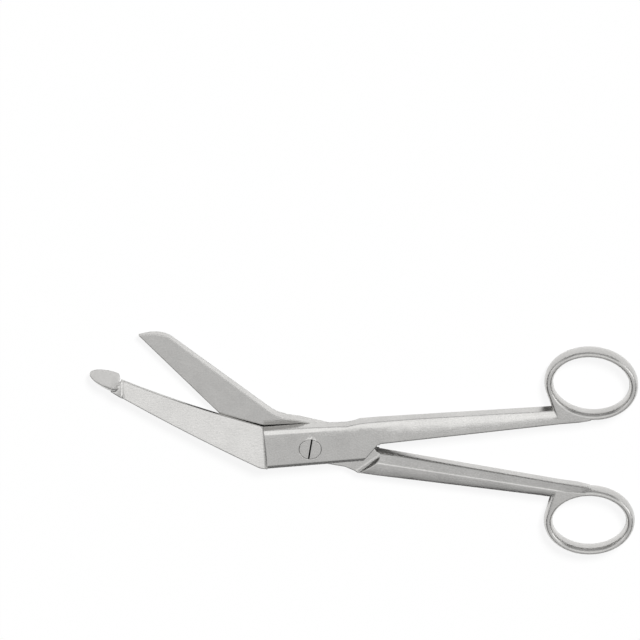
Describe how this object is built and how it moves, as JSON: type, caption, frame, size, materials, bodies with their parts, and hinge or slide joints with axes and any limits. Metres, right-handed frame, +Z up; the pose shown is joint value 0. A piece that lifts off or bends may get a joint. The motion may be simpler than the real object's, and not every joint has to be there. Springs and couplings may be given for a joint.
{
  "type": "angled bandage scissors",
  "caption": "Angled bandage scissors in satin stainless steel, with a blunt probe on the lower blade, a slotted pivot screw and finger rings, shown partly open.",
  "frame": {"origin": "on the pivot screw's axis, at the back face of the lap joint, on which the scissors rest", "axes": "+X halves the angle between the handles, towards the rings; +Z up, along the pivot, towards the screw's slotted head"},
  "size_m": [0.2051, 0.0886, 0.0084],
  "materials": {
    "satin_steel": "satin, ground and blasted fine",
    "screw_steel": "satin, turned"
  },
  "bodies": {
    "rear": {"rear_arm": "satin_steel", "pivot_screw": "screw_steel"},
    "front": {"front_arm": "satin_steel"}
  },
  "joints": [
    {"name": "pivot", "type": "hinge", "parent": "rear", "child": "front", "pos_m": [0, 0, 0], "axis": [0, 0, 1], "range_deg": [-14, 35]}
  ]
}
